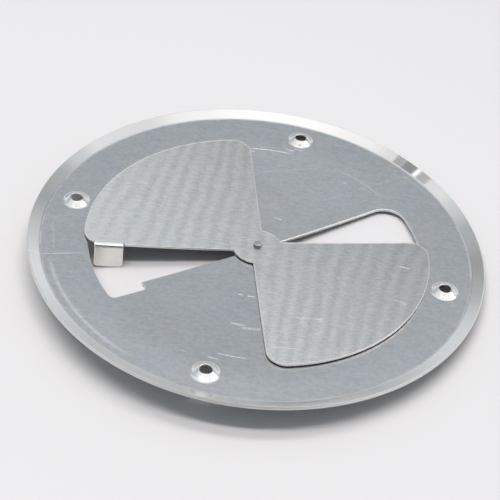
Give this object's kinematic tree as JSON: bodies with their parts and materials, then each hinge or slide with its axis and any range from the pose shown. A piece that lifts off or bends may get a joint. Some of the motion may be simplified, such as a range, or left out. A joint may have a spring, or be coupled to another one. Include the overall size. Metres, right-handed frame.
{
  "type": "rotary shutter ventilator",
  "caption": "Round stamped aluminium boat ventilator plate with quarter openings and a rotary butterfly shutter, worked by a folded finger tab.",
  "frame": {"origin": "on the pivot axis, in the plane where the back of the plate's rim meets the panel that it is screwed to", "axes": "+Z along the pivot axis, out of the back of the plate and into the panel; +X to the right and +Y up across the plate, seen from the back"},
  "size_m": [0.127, 0.127, 0.0089],
  "materials": {
    "plate_aluminium": "satin",
    "shutter_aluminium": "fine brushed",
    "rivet_aluminium": "bright",
    "washer_steel": "dull"
  },
  "bodies": {
    "cover": {"base_plate": "plate_aluminium", "pivot_rivet": "rivet_aluminium", "friction_washer": "washer_steel"},
    "shutter": {"shutter": "shutter_aluminium"}
  },
  "joints": [
    {"name": "shutter_pivot", "type": "hinge", "parent": "cover", "child": "shutter", "pos_m": [0, 0, 0], "axis": [0, 0, 1], "range_deg": [-61.5, 26]}
  ]
}
